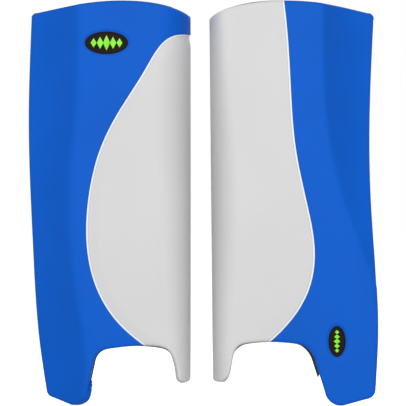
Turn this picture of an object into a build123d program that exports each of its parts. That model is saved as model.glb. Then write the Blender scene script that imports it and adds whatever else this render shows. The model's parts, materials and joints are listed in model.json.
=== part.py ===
from build123d import *
import math
import os

# A pair of moulded-foam leg guards for a field-hockey goalkeeper.
#
# Frame: millimetres, X across (left guard at -X), Y back (the rebound face looks
# towards -Y), Z up. The origin is on the axis of the left leg, half way up the shin.
# Each guard is drawn in its own coordinates: "across" from the inner edge towards
# the outer side, "back" from the front of the face, and "up" from the lowest point.

# ---------------------------------------------------------------- pair
GAP = 33.0  # between the inner edges of the two guards
TOP = 713.7  # height of the domed top edge
LEG_ACROSS = 95.0  # the leg's axis, in a guard's own coordinates
LEG_BACK = 100.0
LEG_UP = 330.0

# ---------------------------------------------------------------- foam
SKIN = 20.0  # thickness of the moulded outer foam
SEAM = 3.0  # width of the bonding strip between the two colours
FLARE_SLOPE = 0.60  # how far the flared side falls back per mm across
FLARE_SAG = 0.09  # hollow of the flared side, as a share of its width
CREASE_BACK = 2.0  # the crease is this far behind the front of the face
WALL = (170.0, 194.0)  # the outer calf wall, across
WALL_FOOT = 78.0  # height of the wall's lower end
CORE_BACK = 48.0  # the leg side of the shin foam
CORE_FRONT = 15.0  # inside the skin, which trims the core
LINER = (34.0, 166.0, 122.0, 690.0)  # across from, to, up from, to
LINER_THICK = 6.0
PAD_THICK = 11.6  # calf pads on both walls
PAD_UP = (130.0, 640.0)
PAD_FRONT = {"inner": 92.0, "outer": 58.0}
PAD_SETBACK = 8.0  # the pads end this far short of the walls' rear edge
BOLSTER = (24.0, 16.0)  # width and thickness of a shin bolster
BOLSTER_ACROSS = (57.0, 133.0)
BOLSTER_UP = (135.0, 475.0)
KNEE = (38.0, 152.0, 500.0, 682.0)
KNEE_THICK = 24.0
CUSHION_GAP = 0.3  # between a cushion and what it lies on

# ---------------------------------------------------------------- straps
WEBBING = (38.0, 2.0)  # width and thickness
STRAP_UP = {"ankle": 165.0, "mid_calf": 310.0, "upper_calf": 470.0}
# Rear edge of both walls: height and distance back.
REAR_EDGE = [(-20, 72), (60, 100), (165, 128), (310, 147), (470, 145), (600, 122), (740, 88)]
WRAP = 8.0  # inside radius of a strap round the end of a wall
WRAP_START = 6.0  # the bend starts this far behind the wall
POCKET = 5.4  # depth of the pockets in the inner wall
PLATE = (42.0, 20.0, 3.2)  # anchor plate: up, back, thick
PLATE_SETBACK = 30.0  # centre of a plate, in front of the rear edge
SCREW_PITCH = 24.0
SCREW_RADIUS = 2.5
HEAD = (4.4, 1.7)  # screw head: radius and thickness
NUT_FLANGE = (8.0, 1.5)
NUT_BARREL = (3.8, 9.0)
FIT = 0.15  # radial clearance of the fasteners

# ---------------------------------------------------------------- buckles
BUCKLE_WIDTH = 50.0
BUCKLE_THICK = 13.0
BODY = (40.0, 78.0)  # the socket half, across
BODY_BAR = 34.5
CLIP = (78.4, 84.0)  # the flange of the plug half, across
CLIP_BAR = 98.0
BAR_RADIUS = 2.3
CHEEK = 4.5
CAVITY = (48.0, 42.0, 8.2)  # where it starts across, its width and its thickness
PRONG_END = 54.5
TAIL_END = 164.0  # free end of the webbing that doubles back
KEEPER = (170.0, 178.0)


class Guard:
    """One leg guard: its side of the pair and the outlines that differ."""

    def __init__(self, name, side, inner_x, drift, stations, outline, split, badge):
        self.name = name
        self.side = side
        self.inner_x = inner_x
        self.drift = drift
        self.stations = stations  # up, crease across, and the inner corner's reach across and back
        self.outline = outline
        self.split = split
        self.badge = badge

    def at(self, across, back, up):
        """A point of this guard in the shared frame."""
        return Vector(self.inner_x + self.side * across, back - LEG_BACK, up - LEG_UP)

    def inner_edge(self, up):
        """How far the inner edge has drifted outwards at this height."""
        return self.drift * (TOP - up) / TOP


LEFT = Guard(
    "left",
    side=-1,
    inner_x=LEG_ACROSS,
    drift=0.0,
    stations=[(-20, 186, 40, 58), (98, 187, 42, 62), (210, 205, 49, 76), (350, 215, 60, 88),
              (450, 210, 69, 98), (560, 201, 70, 96), (740, 203, 52, 70)],
    outline=[
        ("line", [(-6, 75), (-6, 672), (2, 690)]),
        ("curve", [(2, 690), (36, 703), (119, TOP), (200, 707), (272, 693)]),
        ("arc", [(272, 693), (279, 690), (281, 682)]),
        ("curve", [(281, 682), (286, 500), (279, 291), (264, 98), (252.6, 24)]),
        ("arc", [(252.6, 24), (249, 17), (242, 13)]),
        ("line", [(242, 13), (206, 0.6)]),
        ("arc", [(206, 0.6), (189, 4), (181, 20)]),
        ("line", [(181, 20), (169, 76)]),
        ("arc", [(169, 76), (163.5, 90), (150, 99)]),
        ("curve", [(150, 99), (96, 105), (50, 101)]),
        ("arc", [(50, 101), (38, 95), (31, 85)]),
        ("line", [(31, 85), (20, 52), (17.5, 38)]),
        ("line", [(17.5, 38), (8, 37), (2, 45), (-6, 75)]),
    ],
    split=[(-12, 654), (27, 649), (78, 590), (122, 520), (157, 450), (175, 379), (181, 300),
           (168, 221), (128, 150), (75, 104), (50, 86)],
    badge=(148.0, 639.0, 38.0, 20.0),
)

RIGHT = Guard(
    "right",
    side=1,
    inner_x=LEG_ACROSS + GAP,
    drift=7.0,
    stations=[(-20, 330, 36, 56), (150, 316, 38, 62), (260, 276, 48, 80), (340, 245, 50, 92),
              (430, 219, 48, 94), (560, 203, 38, 80), (740, 202, 28, 56)],
    outline=[
        ("line", [(-6, 78), (-6, 668), (2, 686)]),
        ("curve", [(2, 686), (42, 703), (141, TOP), (216, 707), (278, 693)]),
        ("arc", [(278, 693), (285, 690), (287, 680)]),
        ("curve", [(287, 680), (280, 480), (283, 344), (295, 210), (296.5, 120), (290, 28)]),
        ("arc", [(290, 28), (285, 17), (272, 11)]),
        ("line", [(272, 11), (231, 0.4)]),
        ("arc", [(231, 0.4), (211, 4), (200, 24)]),
        ("line", [(200, 24), (184, 74)]),
        ("arc", [(184, 74), (175, 94), (158, 108)]),
        ("curve", [(158, 108), (104, 112), (62, 108)]),
        ("arc", [(62, 108), (51, 102), (43, 92)]),
        ("line", [(43, 92), (33, 64), (26, 45)]),
        ("line", [(26, 45), (18, 40), (10, 47), (-6, 78)]),
    ],
    split=[(127, 728), (134, 666), (141, 555), (150, 450), (172, 344), (183, 265), (172, 203),
           (125, 133), (98, 108), (82, 94)],
    badge=(225.0, 113.0, 15.0, 27.0),
)


# ---------------------------------------------------------------- helpers
def block(guard, across, back, up):
    """A box between two corners given as (low, high) pairs."""
    size = [abs(high - low) for low, high in (across, back, up)]
    middle = guard.at(sum(across) / 2, sum(back) / 2, sum(up) / 2)
    return Location(middle) * Box(*size)


def rod(guard, radius, across, back, up):
    """A round bar that runs across."""
    middle = guard.at(sum(across) / 2, back, up)
    length = abs(across[1] - across[0])
    return Location(middle) * Cylinder(radius, length, rotation=(0, 90, 0))


def post(guard, radius, across, back, up):
    """A round bar that stands upright."""
    middle = guard.at(across, back, sum(up) / 2)
    return Location(middle) * Cylinder(radius, up[1] - up[0])


def edges_of(guard, pieces, back):
    """The edges of an outline drawn in the front view, at one depth."""
    edges = []
    for kind, points in pieces:
        spots = [guard.at(across, back, up) for across, up in points]
        if kind == "line":
            edges += [Edge.make_line(a, b) for a, b in zip(spots, spots[1:])]
        elif kind == "arc":
            edges.append(Edge.make_three_point_arc(*spots))
        else:
            edges.append(Edge.make_spline(spots))
    return edges


def front_prism(guard, pieces, back_low=-40.0, back_high=240.0):
    """A closed front-view outline, carried straight back."""
    face = Face(Wire(edges_of(guard, pieces, back_low)))
    return Solid.extrude(face, Vector(0, back_high - back_low, 0))


def side_prism(guard, across, front, setback, up):
    """A slab of the side view, between a straight front and the rear edge."""
    low, high = up
    rear = Edge.make_spline([guard.at(across[0], back, height) for height, back in REAR_EDGE])
    rear = rear.translate((0, -setback, 0))
    start, end = rear @ 0, rear @ 1
    front_low = Vector(start.X, front - LEG_BACK, start.Z)
    front_high = Vector(end.X, front - LEG_BACK, end.Z)
    outline = Wire([
        rear,
        Edge.make_line(end, front_high),
        Edge.make_line(front_high, front_low),
        Edge.make_line(front_low, start),
    ])
    slab = Solid.extrude(Face(outline), Vector(guard.side * (across[1] - across[0]), 0, 0))
    return slab & block(guard, (across[0] - 1, across[1] + 1), (-60, 260), (low, high))


def solid_of(shape):
    """The one main solid of a boolean result."""
    return max(shape.solids(), key=lambda solid: solid.volume)


def rear_at(up):
    """Distance back of the walls' rear edge at a strap's height."""
    return dict(REAR_EDGE)[up]


# ---------------------------------------------------------------- foam pieces
def quarter_oval(guard, across, back, reach, depth, up):
    """The inner corner in plan: a quarter of an ellipse, from its side to its front."""
    centre = guard.at(across, back, up)
    plane = Plane(origin=centre, x_dir=(-guard.side, 0, 0), z_dir=(0, 0, guard.side))
    return Edge.make_ellipse(reach, depth, plane=plane, start_angle=0, end_angle=90)


def skin_section(guard, up, crease, corner, depth):
    """The plan section of the moulded skin at one height, as a closed wire."""
    edge = guard.inner_edge(up)
    centre = edge + corner
    end = max(304.0, crease + 26)
    width = end - crease
    fall = FLARE_SLOPE * width
    slope = math.atan2(fall, width)
    bend = 2 * math.atan(4 * FLARE_SAG * math.cos(slope) / 2)
    miter = SKIN * math.tan((slope + bend) / 2)
    sag = FLARE_SAG * width

    def spot(across, back):
        return guard.at(across, back, up)

    def shifted(across, back, angle, offset):
        return across - offset * math.sin(angle), back + offset * math.cos(angle)

    middle = shifted((crease + end) / 2, CREASE_BACK + fall / 2, slope, sag)
    back_middle = shifted(*middle, slope, SKIN)
    back_end = shifted(end, CREASE_BACK + fall, slope - bend, SKIN)
    wing_end = 190.0
    front_flat = spot(centre, 0)
    front_crease = spot(crease, CREASE_BACK)
    front_end = spot(end, CREASE_BACK + fall)
    rear_crease = spot(crease - miter, CREASE_BACK + SKIN)
    rear_flat = spot(centre, SKIN)
    return Wire([
        Edge.make_line(spot(edge, wing_end), spot(edge, depth)),
        quarter_oval(guard, centre, depth, corner, depth, up),
        Edge.make_line(front_flat, front_crease),
        Edge.make_three_point_arc(front_crease, spot(*middle), front_end),
        Edge.make_line(front_end, spot(*back_end)),
        Edge.make_three_point_arc(spot(*back_end), spot(*back_middle), rear_crease),
        Edge.make_line(rear_crease, rear_flat),
        quarter_oval(guard, centre, depth, corner - SKIN, depth - SKIN, up),
        Edge.make_line(spot(edge + SKIN, depth), spot(edge + SKIN, wing_end)),
        Edge.make_line(spot(edge + SKIN, wing_end), spot(edge, wing_end)),
    ])


def whole_skin(guard):
    """The skin before it is trimmed to the guard's outline."""
    return Solid.make_loft([skin_section(guard, *station) for station in guard.stations])


def core_block(guard):
    """The shin foam and the outer calf wall, before the skin trims them."""
    points = [(12, 30), (35, CORE_FRONT), (WALL[1], CORE_FRONT), (WALL[1], CORE_BACK),
              (12, CORE_BACK)]
    spots = [guard.at(across, back, -20) for across, back in points]
    shin = Solid.extrude(Face(Wire.make_polygon(spots)), Vector(0, 0, TOP + 40))
    wall = block(guard, WALL, (CORE_FRONT + 10, 200), (WALL_FOOT, TOP + 20))
    return shin + wall


def face_region(guard, grow):
    """The front-view region of the pale panel, grown across by a margin."""
    points = []
    count = len(guard.split)
    for index, (across, up) in enumerate(guard.split):
        before = guard.split[max(index - 1, 0)]
        after = guard.split[min(index + 1, count - 1)]
        run = (after[0] - before[0], after[1] - before[1])
        length = math.hypot(*run)
        points.append((across - grow * run[1] / length, up + grow * run[0] / length))
    start, end = points[0], points[-1]
    low = -40
    left_edge = -30
    return [
        ("curve", points),
        ("line", [end, (end[0], low), (left_edge, low), (left_edge, start[1]), start]),
    ]


def badge_frame(guard, back):
    """A plane on the face at the badge, looking forwards."""
    across, up = guard.badge[:2]
    return Plane(origin=guard.at(across, back, up), x_dir=(1, 0, 0), z_dir=(0, -1, 0))


def badge_face(guard):
    """Distance back of the face at the badge."""
    return CREASE_BACK * 0.6


def badge_plate(guard):
    half_width, half_height = guard.badge[2:]
    oval = badge_frame(guard, badge_face(guard) + 2) * Ellipse(half_width, half_height)
    return extrude(oval, amount=3.2)


def badge_mark(guard):
    """Five plain lozenges in a row along the badge, largest in the middle."""
    half_width, half_height = guard.badge[2:]
    upright = half_height > half_width
    long_half = max(half_width, half_height)
    short_half = min(half_width, half_height)
    boldness = 0.6 if upright else 1.0
    frame = badge_frame(guard, badge_face(guard) - 1.2)
    marks = []
    for step, share in enumerate((0.3, 0.42, 0.55, 0.42, 0.3)):
        offset = (step - 2) * long_half * 0.3
        long_part = long_half * 0.1 * (1 + share)
        cross_part = short_half * share * boldness
        if upright:
            corners = [(0, offset - long_part), (cross_part, offset),
                       (0, offset + long_part), (-cross_part, offset)]
        else:
            corners = [(offset + long_part, 0), (offset, cross_part),
                       (offset - long_part, 0), (offset, -cross_part)]
        marks.append(extrude(frame * Polygon(*corners, align=None), amount=0.5))
    return marks


def foam_pieces(guard):
    """Skin, face panel, bonding strip and core, with pockets for the fittings."""
    outline = front_prism(guard, guard.outline)
    side = side_prism(guard, (-20, 340), -60.0, 0.0, (-19, TOP + 20))
    skin = whole_skin(guard)
    core = solid_of((core_block(guard) - skin) & outline & side)
    core = core - nut_holes(guard, "outer")
    trimmed = solid_of(skin & outline & side)
    pockets = [wall_pocket(guard, up) for up in STRAP_UP.values()]
    trimmed = trimmed - pockets - nut_holes(guard, "inner")
    pale = front_prism(guard, face_region(guard, 0))
    pale_and_seam = front_prism(guard, face_region(guard, SEAM))
    half_width, half_height = guard.badge[2:]
    oval = badge_frame(guard, badge_face(guard) + 2.1) * Ellipse(half_width + FIT, half_height + FIT)
    recess = extrude(oval, amount=20)
    return {
        "face_panel": solid_of(trimmed & pale),
        "bond_strip": solid_of((trimmed & pale_and_seam) - pale),
        "outer_shell": solid_of(trimmed - pale_and_seam - recess),
        "foam_core": solid_of(core),
    }


def leg_liner(guard):
    low, high, bottom, top = LINER
    plate = block(guard, (low, high), (CORE_BACK, CORE_BACK + LINER_THICK), (bottom, top))
    return fillet(plate.edges().filter_by(Axis.Y), radius=24)


def shin_bolster(guard, across):
    """A long half-round cushion beside the shin bone."""
    width, thick = BOLSTER
    bottom = CORE_BACK + LINER_THICK + CUSHION_GAP
    low, high = BOLSTER_UP
    bar = block(guard, (across - width / 2, across + width / 2), (bottom, bottom + thick), (low, high))
    rear = bar.edges().group_by(Axis.Y)[-1]
    return fillet(rear, radius=9)


def knee_cushion(guard):
    low, high, bottom, top = KNEE
    front = CORE_BACK + LINER_THICK + CUSHION_GAP
    pad = block(guard, (low, high), (front, front + KNEE_THICK), (bottom, top))
    pad = fillet(pad.edges().filter_by(Axis.Y), radius=28)
    return fillet(pad.edges().group_by(Axis.Y)[-1], radius=10)


def calf_pad(guard, wall):
    """A flat cushion on the leg side of one wall."""
    if wall == "inner":
        across = (SKIN + CUSHION_GAP, SKIN + CUSHION_GAP + PAD_THICK)
    else:
        across = (WALL[0] - CUSHION_GAP - PAD_THICK, WALL[0] - CUSHION_GAP)
    pad = side_prism(guard, across, PAD_FRONT[wall], PAD_SETBACK, PAD_UP)
    if wall == "inner" and guard.drift:
        lean = math.degrees(math.atan2(guard.drift, TOP)) * guard.side
        hinge = Axis(guard.at(0, 0, TOP), (0, 1, 0))
        pad = pad.rotate(hinge, -lean)
    return pad


# ---------------------------------------------------------------- anchors
def anchor_spots(guard):
    """Each anchor: its wall, the face it sits on, the way in, and its place."""
    spots = []
    for up in STRAP_UP.values():
        back = rear_at(up) - PLATE_SETBACK
        spots.append(("inner", guard.inner_edge(up) + POCKET, -1, back, up))
        spots.append(("outer", WALL[1], 1, back, up))
    return spots


def stacked(face, outwards, start, thick):
    """A span across, measured outwards from a wall's face."""
    return tuple(sorted((face + outwards * start, face + outwards * (start + thick))))


def wall_pocket(guard, up):
    """The recess in the inner wall for a strap end and its plate."""
    edge = guard.inner_edge(up)
    back = rear_at(up) - PLATE_SETBACK - PLATE[1] / 2 - 3
    half = PLATE[0] / 2 + 2
    return block(guard, (edge - 20, edge + POCKET), (back, 230), (up - half, up + half))


def nut_span(guard, wall, up):
    """Where a tee nut lies across, from its flange's face inwards, and which way."""
    if wall == "inner":
        return guard.inner_edge(up) + SKIN, -1
    return WALL[0], 1


def nut_holes(guard, wall):
    """Clearance holes for the tee nuts and screws of one wall."""
    holes = []
    for name, _face, _outwards, back, up in anchor_spots(guard):
        if name != wall:
            continue
        seat, way = nut_span(guard, wall, up)
        for rise in (-SCREW_PITCH / 2, SCREW_PITCH / 2):
            flange = stacked(seat, way, -1, NUT_FLANGE[1] + 1)
            barrel = stacked(seat, way, 0, NUT_FLANGE[1] + NUT_BARREL[1])
            shank = stacked(seat, way, 0, 40)
            holes.append(rod(guard, NUT_FLANGE[0] + FIT, flange, back, up + rise))
            holes.append(rod(guard, NUT_BARREL[0] + FIT, barrel, back, up + rise))
            holes.append(rod(guard, SCREW_RADIUS + FIT, shank, back, up + rise))
    return holes


def anchor_plates(guard):
    plates = []
    for _wall, face, outwards, back, up in anchor_spots(guard):
        across = stacked(face, outwards, WEBBING[1], PLATE[2])
        half = PLATE[1] / 2
        rise = PLATE[0] / 2
        plate = block(guard, across, (back - half, back + half), (up - rise, up + rise))
        plate = fillet(plate.edges().filter_by(Axis.X), radius=4)
        seat = stacked(face, outwards, WEBBING[1] + PLATE[2] - HEAD[1] - 0.2, 10)
        for offset in (-SCREW_PITCH / 2, SCREW_PITCH / 2):
            plate = plate - rod(guard, HEAD[0] + FIT, seat, back, up + offset)
            plate = plate - rod(guard, SCREW_RADIUS + FIT, (across[0] - 1, across[1] + 1), back,
                                up + offset)
        plates.append(plate)
    return plates


def anchor_screws(guard):
    screws = []
    for wall, face, outwards, back, up in anchor_spots(guard):
        seat, way = nut_span(guard, wall, up)
        top = face + outwards * (WEBBING[1] + PLATE[2] - 0.2)
        under = top - outwards * HEAD[1]
        tip = seat + way * (NUT_FLANGE[1] + 1)
        for offset in (-SCREW_PITCH / 2, SCREW_PITCH / 2):
            head = rod(guard, HEAD[0], sorted((under, top)), back, up + offset)
            shank = rod(guard, SCREW_RADIUS, sorted((tip, under)), back, up + offset)
            socket = rod(guard, 1.4, stacked(top, -outwards, -1, 2.1), back, up + offset)
            screws.append(head + shank - socket)
    return screws


def tee_nuts(guard):
    nuts = []
    for wall, _face, _outwards, back, up in anchor_spots(guard):
        seat, way = nut_span(guard, wall, up)
        for offset in (-SCREW_PITCH / 2, SCREW_PITCH / 2):
            flange = rod(guard, NUT_FLANGE[0], stacked(seat, way, 0, NUT_FLANGE[1]), back, up + offset)
            barrel = rod(guard, NUT_BARREL[0],
                         stacked(seat, way, 0, NUT_FLANGE[1] + NUT_BARREL[1]), back, up + offset)
            bore = rod(guard, SCREW_RADIUS + 0.05, stacked(seat, way, -1, 30), back, up + offset)
            nuts.append(flange + barrel - bore)
    return nuts


# ---------------------------------------------------------------- webbing
def webbing(guard, up, path_points, holes_at):
    """Flat webbing swept along a plan path of straight runs and arcs."""
    edges = []
    for kind, points in path_points:
        spots = [guard.at(across, back, up) for across, back in points]
        if kind == "line":
            edges.append(Edge.make_line(*spots))
        else:
            edges.append(Edge.make_three_point_arc(*spots))
    path = Wire(edges)
    start = path @ 0
    along = path % 0
    section = Plane(origin=start, x_dir=(0, 0, 1), z_dir=along) * Rectangle(*WEBBING)
    band = sweep(section, path=path)
    across, back = holes_at
    for offset in (-SCREW_PITCH / 2, SCREW_PITCH / 2):
        band = band - rod(guard, SCREW_RADIUS + FIT, (across - 3, across + 3), back, up + offset)
    return band


def wrap_arc(centre, radius, start_side):
    """A quarter turn in plan, from along a wall to across behind it."""
    across, back = centre
    turn = math.sqrt(0.5)
    return [(across + start_side * radius, back),
            (across + start_side * radius * turn, back + radius * turn),
            (across, back + radius)]


def strap_lines(up):
    """Distances back of the webbing's two runs and of the buckle's middle."""
    bend = rear_at(up) + WRAP_START
    run = bend + WRAP + WEBBING[1] / 2
    middle = run + BAR_RADIUS + 0.5 + WEBBING[1] / 2
    far_run = middle + (middle - run)
    return bend, run, middle, far_run


def loop_arc(across, middle, reach, side):
    """The half turn of webbing round a buckle's bar."""
    return [(across, middle - reach), (across + side * reach, middle), (across, middle + reach)]


def calf_strap(guard, up):
    """The long strap: anchored outside the outer wall, round the plug half's bar."""
    bend, run, middle, far_run = strap_lines(up)
    half = WEBBING[1] / 2
    anchor = WALL[1] + half
    back = rear_at(up) - PLATE_SETBACK
    centre = (WALL[1] - WRAP, bend)
    reach = middle - run
    path = [
        ("line", [(anchor, back - 12), (anchor, bend)]),
        ("arc", wrap_arc(centre, WRAP + half, 1)),
        ("line", [(centre[0], run), (CLIP_BAR, run)]),
        ("arc", loop_arc(CLIP_BAR, middle, reach, -1)),
        ("line", [(CLIP_BAR, far_run), (TAIL_END, far_run)]),
    ]
    return webbing(guard, up, path, (anchor, back))


def buckle_tab(guard, up):
    """The short strap that holds the socket half on the inner wall."""
    bend, run, middle, far_run = strap_lines(up)
    half = WEBBING[1] / 2
    floor = guard.inner_edge(up) + POCKET
    back = rear_at(up) - PLATE_SETBACK
    centre = (floor + WRAP, bend)
    reach = middle - run
    path = [
        ("line", [(floor - half, back - 12), (floor - half, bend)]),
        ("arc", wrap_arc(centre, WRAP + half, -1)),
        ("line", [(centre[0], run), (BODY_BAR, run)]),
        ("arc", loop_arc(BODY_BAR, middle, reach, 1)),
        ("line", [(BODY_BAR, far_run), (BODY_BAR - 16, far_run)]),
    ]
    return webbing(guard, up, path, (floor - half, back))


def strap_keeper(guard, up):
    """An elastic loop that holds the strap's free end down."""
    _bend, run, _middle, far_run = strap_lines(up)
    half = WEBBING[0] / 2 + 0.6
    front = run - WEBBING[1] / 2 - 0.5
    rear = far_run + WEBBING[1] / 2 + 0.5
    outer = block(guard, KEEPER, (front - 1.4, rear + 1.4), (up - half - 1.4, up + half + 1.4))
    outer = fillet(outer.edges().filter_by(Axis.X), radius=1.2)
    return outer - block(guard, (KEEPER[0] - 1, KEEPER[1] + 1), (front, rear), (up - half, up + half))


# ---------------------------------------------------------------- buckles
def cheeks(guard, across, middle, up):
    """The two side arms that carry a buckle's bar."""
    half = BUCKLE_WIDTH / 2
    thick = BUCKLE_THICK / 2 - 1.2
    low = block(guard, across, (middle - thick, middle + thick), (up - half, up - half + CHEEK))
    high = block(guard, across, (middle - thick, middle + thick), (up + half - CHEEK, up + half))
    return low + high


def buckle_body(guard, up):
    """The socket half of a side-release buckle."""
    middle = strap_lines(up)[2]
    half = BUCKLE_WIDTH / 2
    thick = BUCKLE_THICK / 2
    shell = block(guard, BODY, (middle - thick, middle + thick), (up - half, up + half))
    shell = fillet(shell.edges(), radius=2.4)
    start, width, depth = CAVITY
    cavity = block(guard, (start, BODY[1] + 1), (middle - depth / 2, middle + depth / 2),
                   (up - width / 2, up + width / 2))
    windows = block(guard, (56, 71), (middle - 3.2, middle + 3.2), (up - half - 1, up + half + 1))
    arms = cheeks(guard, (BODY_BAR - 4, BODY[0] + 4), middle, up)
    bar = post(guard, BAR_RADIUS, BODY_BAR, middle, (up - half + 1, up + half - 1))
    return shell + arms + bar - cavity - windows


def buckle_clip(guard, up):
    """The plug half: flange, three prongs and the webbing bar."""
    middle = strap_lines(up)[2]
    half = BUCKLE_WIDTH / 2
    thick = BUCKLE_THICK / 2
    flange = block(guard, CLIP, (middle - thick, middle + thick), (up - half, up + half))
    flange = fillet(flange.edges(), radius=1.8)
    arms = cheeks(guard, (CLIP[1] - 2, CLIP_BAR + 4), middle, up)
    bar = post(guard, BAR_RADIUS, CLIP_BAR, middle, (up - half + 1, up + half - 1))
    clip = flange + arms + bar
    reach = (PRONG_END, CLIP[0] + 1)
    for low, high in ((-4, 4), (12.5, 19.5), (-19.5, -12.5)):
        prong = block(guard, reach, (middle - 3.3, middle + 3.3), (up + low, up + high))
        tip = prong.edges().filter_by(Axis.Y)
        ends = tip.group_by(Axis.X)[0 if guard.side > 0 else -1]
        clip = clip + fillet(ends, radius=2.2)
    return clip


# ---------------------------------------------------------------- export
def write(name, shape):
    """One STEP file for one node; a list becomes a group of separate solids."""
    if isinstance(shape, list):
        shape = Compound([solid for item in shape for solid in item.solids()])
    elif not isinstance(shape, Solid):
        shape = solid_of(shape)
    export_step(shape, f"parts/{name}.step")


def build_guard(guard):
    name = guard.name
    for piece, solid in foam_pieces(guard).items():
        write(f"{name}_{piece}", solid)
    write(f"{name}_leg_liner", leg_liner(guard))
    write(f"{name}_knee_cushion", knee_cushion(guard))
    write(f"{name}_inner_shin_bolster", shin_bolster(guard, BOLSTER_ACROSS[0]))
    write(f"{name}_outer_shin_bolster", shin_bolster(guard, BOLSTER_ACROSS[1]))
    write(f"{name}_inner_calf_pad", calf_pad(guard, "inner"))
    write(f"{name}_outer_calf_pad", calf_pad(guard, "outer"))
    write(f"{name}_badge_plate", badge_plate(guard))
    write(f"{name}_badge_mark", badge_mark(guard))
    write(f"{name}_anchor_plates", anchor_plates(guard))
    write(f"{name}_anchor_screws", anchor_screws(guard))
    write(f"{name}_tee_nuts", tee_nuts(guard))
    write(f"{name}_buckle_tabs", [buckle_tab(guard, up) for up in STRAP_UP.values()])
    write(f"{name}_strap_keepers", [strap_keeper(guard, up) for up in STRAP_UP.values()])
    for strap, up in STRAP_UP.items():
        write(f"{name}_{strap}_strap", calf_strap(guard, up))
        write(f"{name}_{strap}_buckle_body", buckle_body(guard, up))
        write(f"{name}_{strap}_buckle_clip", buckle_clip(guard, up))


os.makedirs("parts", exist_ok=True)
for each in (LEFT, RIGHT):
    build_guard(each)
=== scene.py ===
import json
import math

import bpy
import numpy as np
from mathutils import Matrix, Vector
from mathutils.geometry import delaunay_2d_cdt


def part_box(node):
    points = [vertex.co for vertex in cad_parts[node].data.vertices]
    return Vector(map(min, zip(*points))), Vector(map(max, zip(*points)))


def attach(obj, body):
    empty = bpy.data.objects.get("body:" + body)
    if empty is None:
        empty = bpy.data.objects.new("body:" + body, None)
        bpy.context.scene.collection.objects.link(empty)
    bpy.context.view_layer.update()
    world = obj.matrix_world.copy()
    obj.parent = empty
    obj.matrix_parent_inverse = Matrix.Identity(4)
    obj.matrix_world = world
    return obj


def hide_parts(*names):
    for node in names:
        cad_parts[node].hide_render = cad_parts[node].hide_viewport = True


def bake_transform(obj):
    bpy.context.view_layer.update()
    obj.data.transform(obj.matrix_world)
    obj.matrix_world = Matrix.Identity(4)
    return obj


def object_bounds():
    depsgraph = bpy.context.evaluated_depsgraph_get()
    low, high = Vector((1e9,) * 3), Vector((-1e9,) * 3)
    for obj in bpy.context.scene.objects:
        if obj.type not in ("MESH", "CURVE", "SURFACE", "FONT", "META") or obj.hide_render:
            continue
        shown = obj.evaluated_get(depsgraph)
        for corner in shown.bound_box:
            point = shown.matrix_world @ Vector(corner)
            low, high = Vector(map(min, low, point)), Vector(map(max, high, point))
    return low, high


# The looks of a pair of moulded-foam leg guards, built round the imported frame.
# Shapes are worked out in millimetres in each guard's own coordinates: "across" from
# its inner edge outwards, "back" from the front of its face, and "up" from its lowest
# point. Pieces are written out in metres, in the frame's coordinates.

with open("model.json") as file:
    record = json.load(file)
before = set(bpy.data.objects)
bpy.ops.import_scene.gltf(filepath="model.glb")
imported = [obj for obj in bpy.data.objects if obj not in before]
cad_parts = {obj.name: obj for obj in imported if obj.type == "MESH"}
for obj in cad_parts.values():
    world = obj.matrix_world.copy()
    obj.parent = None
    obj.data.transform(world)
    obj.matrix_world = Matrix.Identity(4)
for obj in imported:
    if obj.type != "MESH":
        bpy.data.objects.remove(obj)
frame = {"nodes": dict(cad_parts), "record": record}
CAD_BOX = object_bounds()
NODES = frame["nodes"]

# ---------------------------------------------------------------- driving sizes
LEG_ACROSS, LEG_BACK, LEG_UP = 95.0, 100.0, 330.0  # where the frame's origin lies in the left guard
GAP = 33.0  # between the two guards
TOP = 713.7
SKIN, TOE_SKIN = 20.0, 15.0  # thickness of the moulded foam, and at the inner foot
SEAM = 3.0  # width of the bonding strip
EDGE_ROUND, BACK_ROUND = 5.0, 4.0  # rounding of the skin's outer and inner edges
CREASE_BACK = 2.0  # the face leans back this much from its corner to the crease
FLARE_START, FLARE_END = 1.04, 0.16  # slope of the flared side at the crease and at its edge
FLARE_REACH = 304.0  # the flared side's curve ends here, across
REAR_EDGE = [(-20, 72), (60, 100), (165, 128), (310, 147), (470, 145), (600, 122), (740, 88)]
WING_FOOT = [(40, 41), (80, 44), (91, 48), (99, 62)]
WING_BEND = 24.0  # the wing's upper rear corner is rounded over this much
WING_CORNER = 650.0  # and from this height upwards
CORE_BACK = 48.0  # the leg side of the shin foam
WALL = (170.0, 194.0)  # the outer calf wall, across
STRAP_UP = {"ankle": 165.0, "mid_calf": 310.0, "upper_calf": 470.0}
POCKET, POCKET_LIP = 5.4, 1.3  # depth of a strap's pocket, and width of its sloping lip
POCKET_HALF, POCKET_REACH = 23.0, 43.0
WEBBING = (38.0, 2.0)  # width and thickness
STITCH, STITCH_PITCH = (2.6, 0.45, 0.35), 3.6  # length, half width and rise of a stitch
WRAP, WRAP_START = 8.0, 6.0  # radius of a strap's turn round a wall, and where it starts
PLATE_SETBACK, STRAP_END = 30.0, 12.0  # a strap's anchor plate, and the webbing's end beyond it
BAR_RADIUS = 2.3
BODY_BAR, CLIP_BAR, TAIL_END = 34.5, 98.0, 164.0  # the buckle's two bars and the strap's free end
FOLLOW = (180.0, 104.0)  # two places across a long strap, between its guard and its plug; their points are worked out but not used
LINER = (34.0, 166.0, 122.0, 690.0)  # inner and outer side, bottom and top
LINER_THICK, LINER_CORNER, LINER_PITCH = 6.0, 24.0, 56.0
PAD_UP, PAD_FRONT = (130.0, 640.0), {"inner": 92.0, "outer": 58.0}
PAD_THICK, PAD_SETBACK, PAD_CORNER, PAD_RIBS = 11.6, 8.0, 9.0, 9
CUSHION_GAP = 0.3


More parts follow.
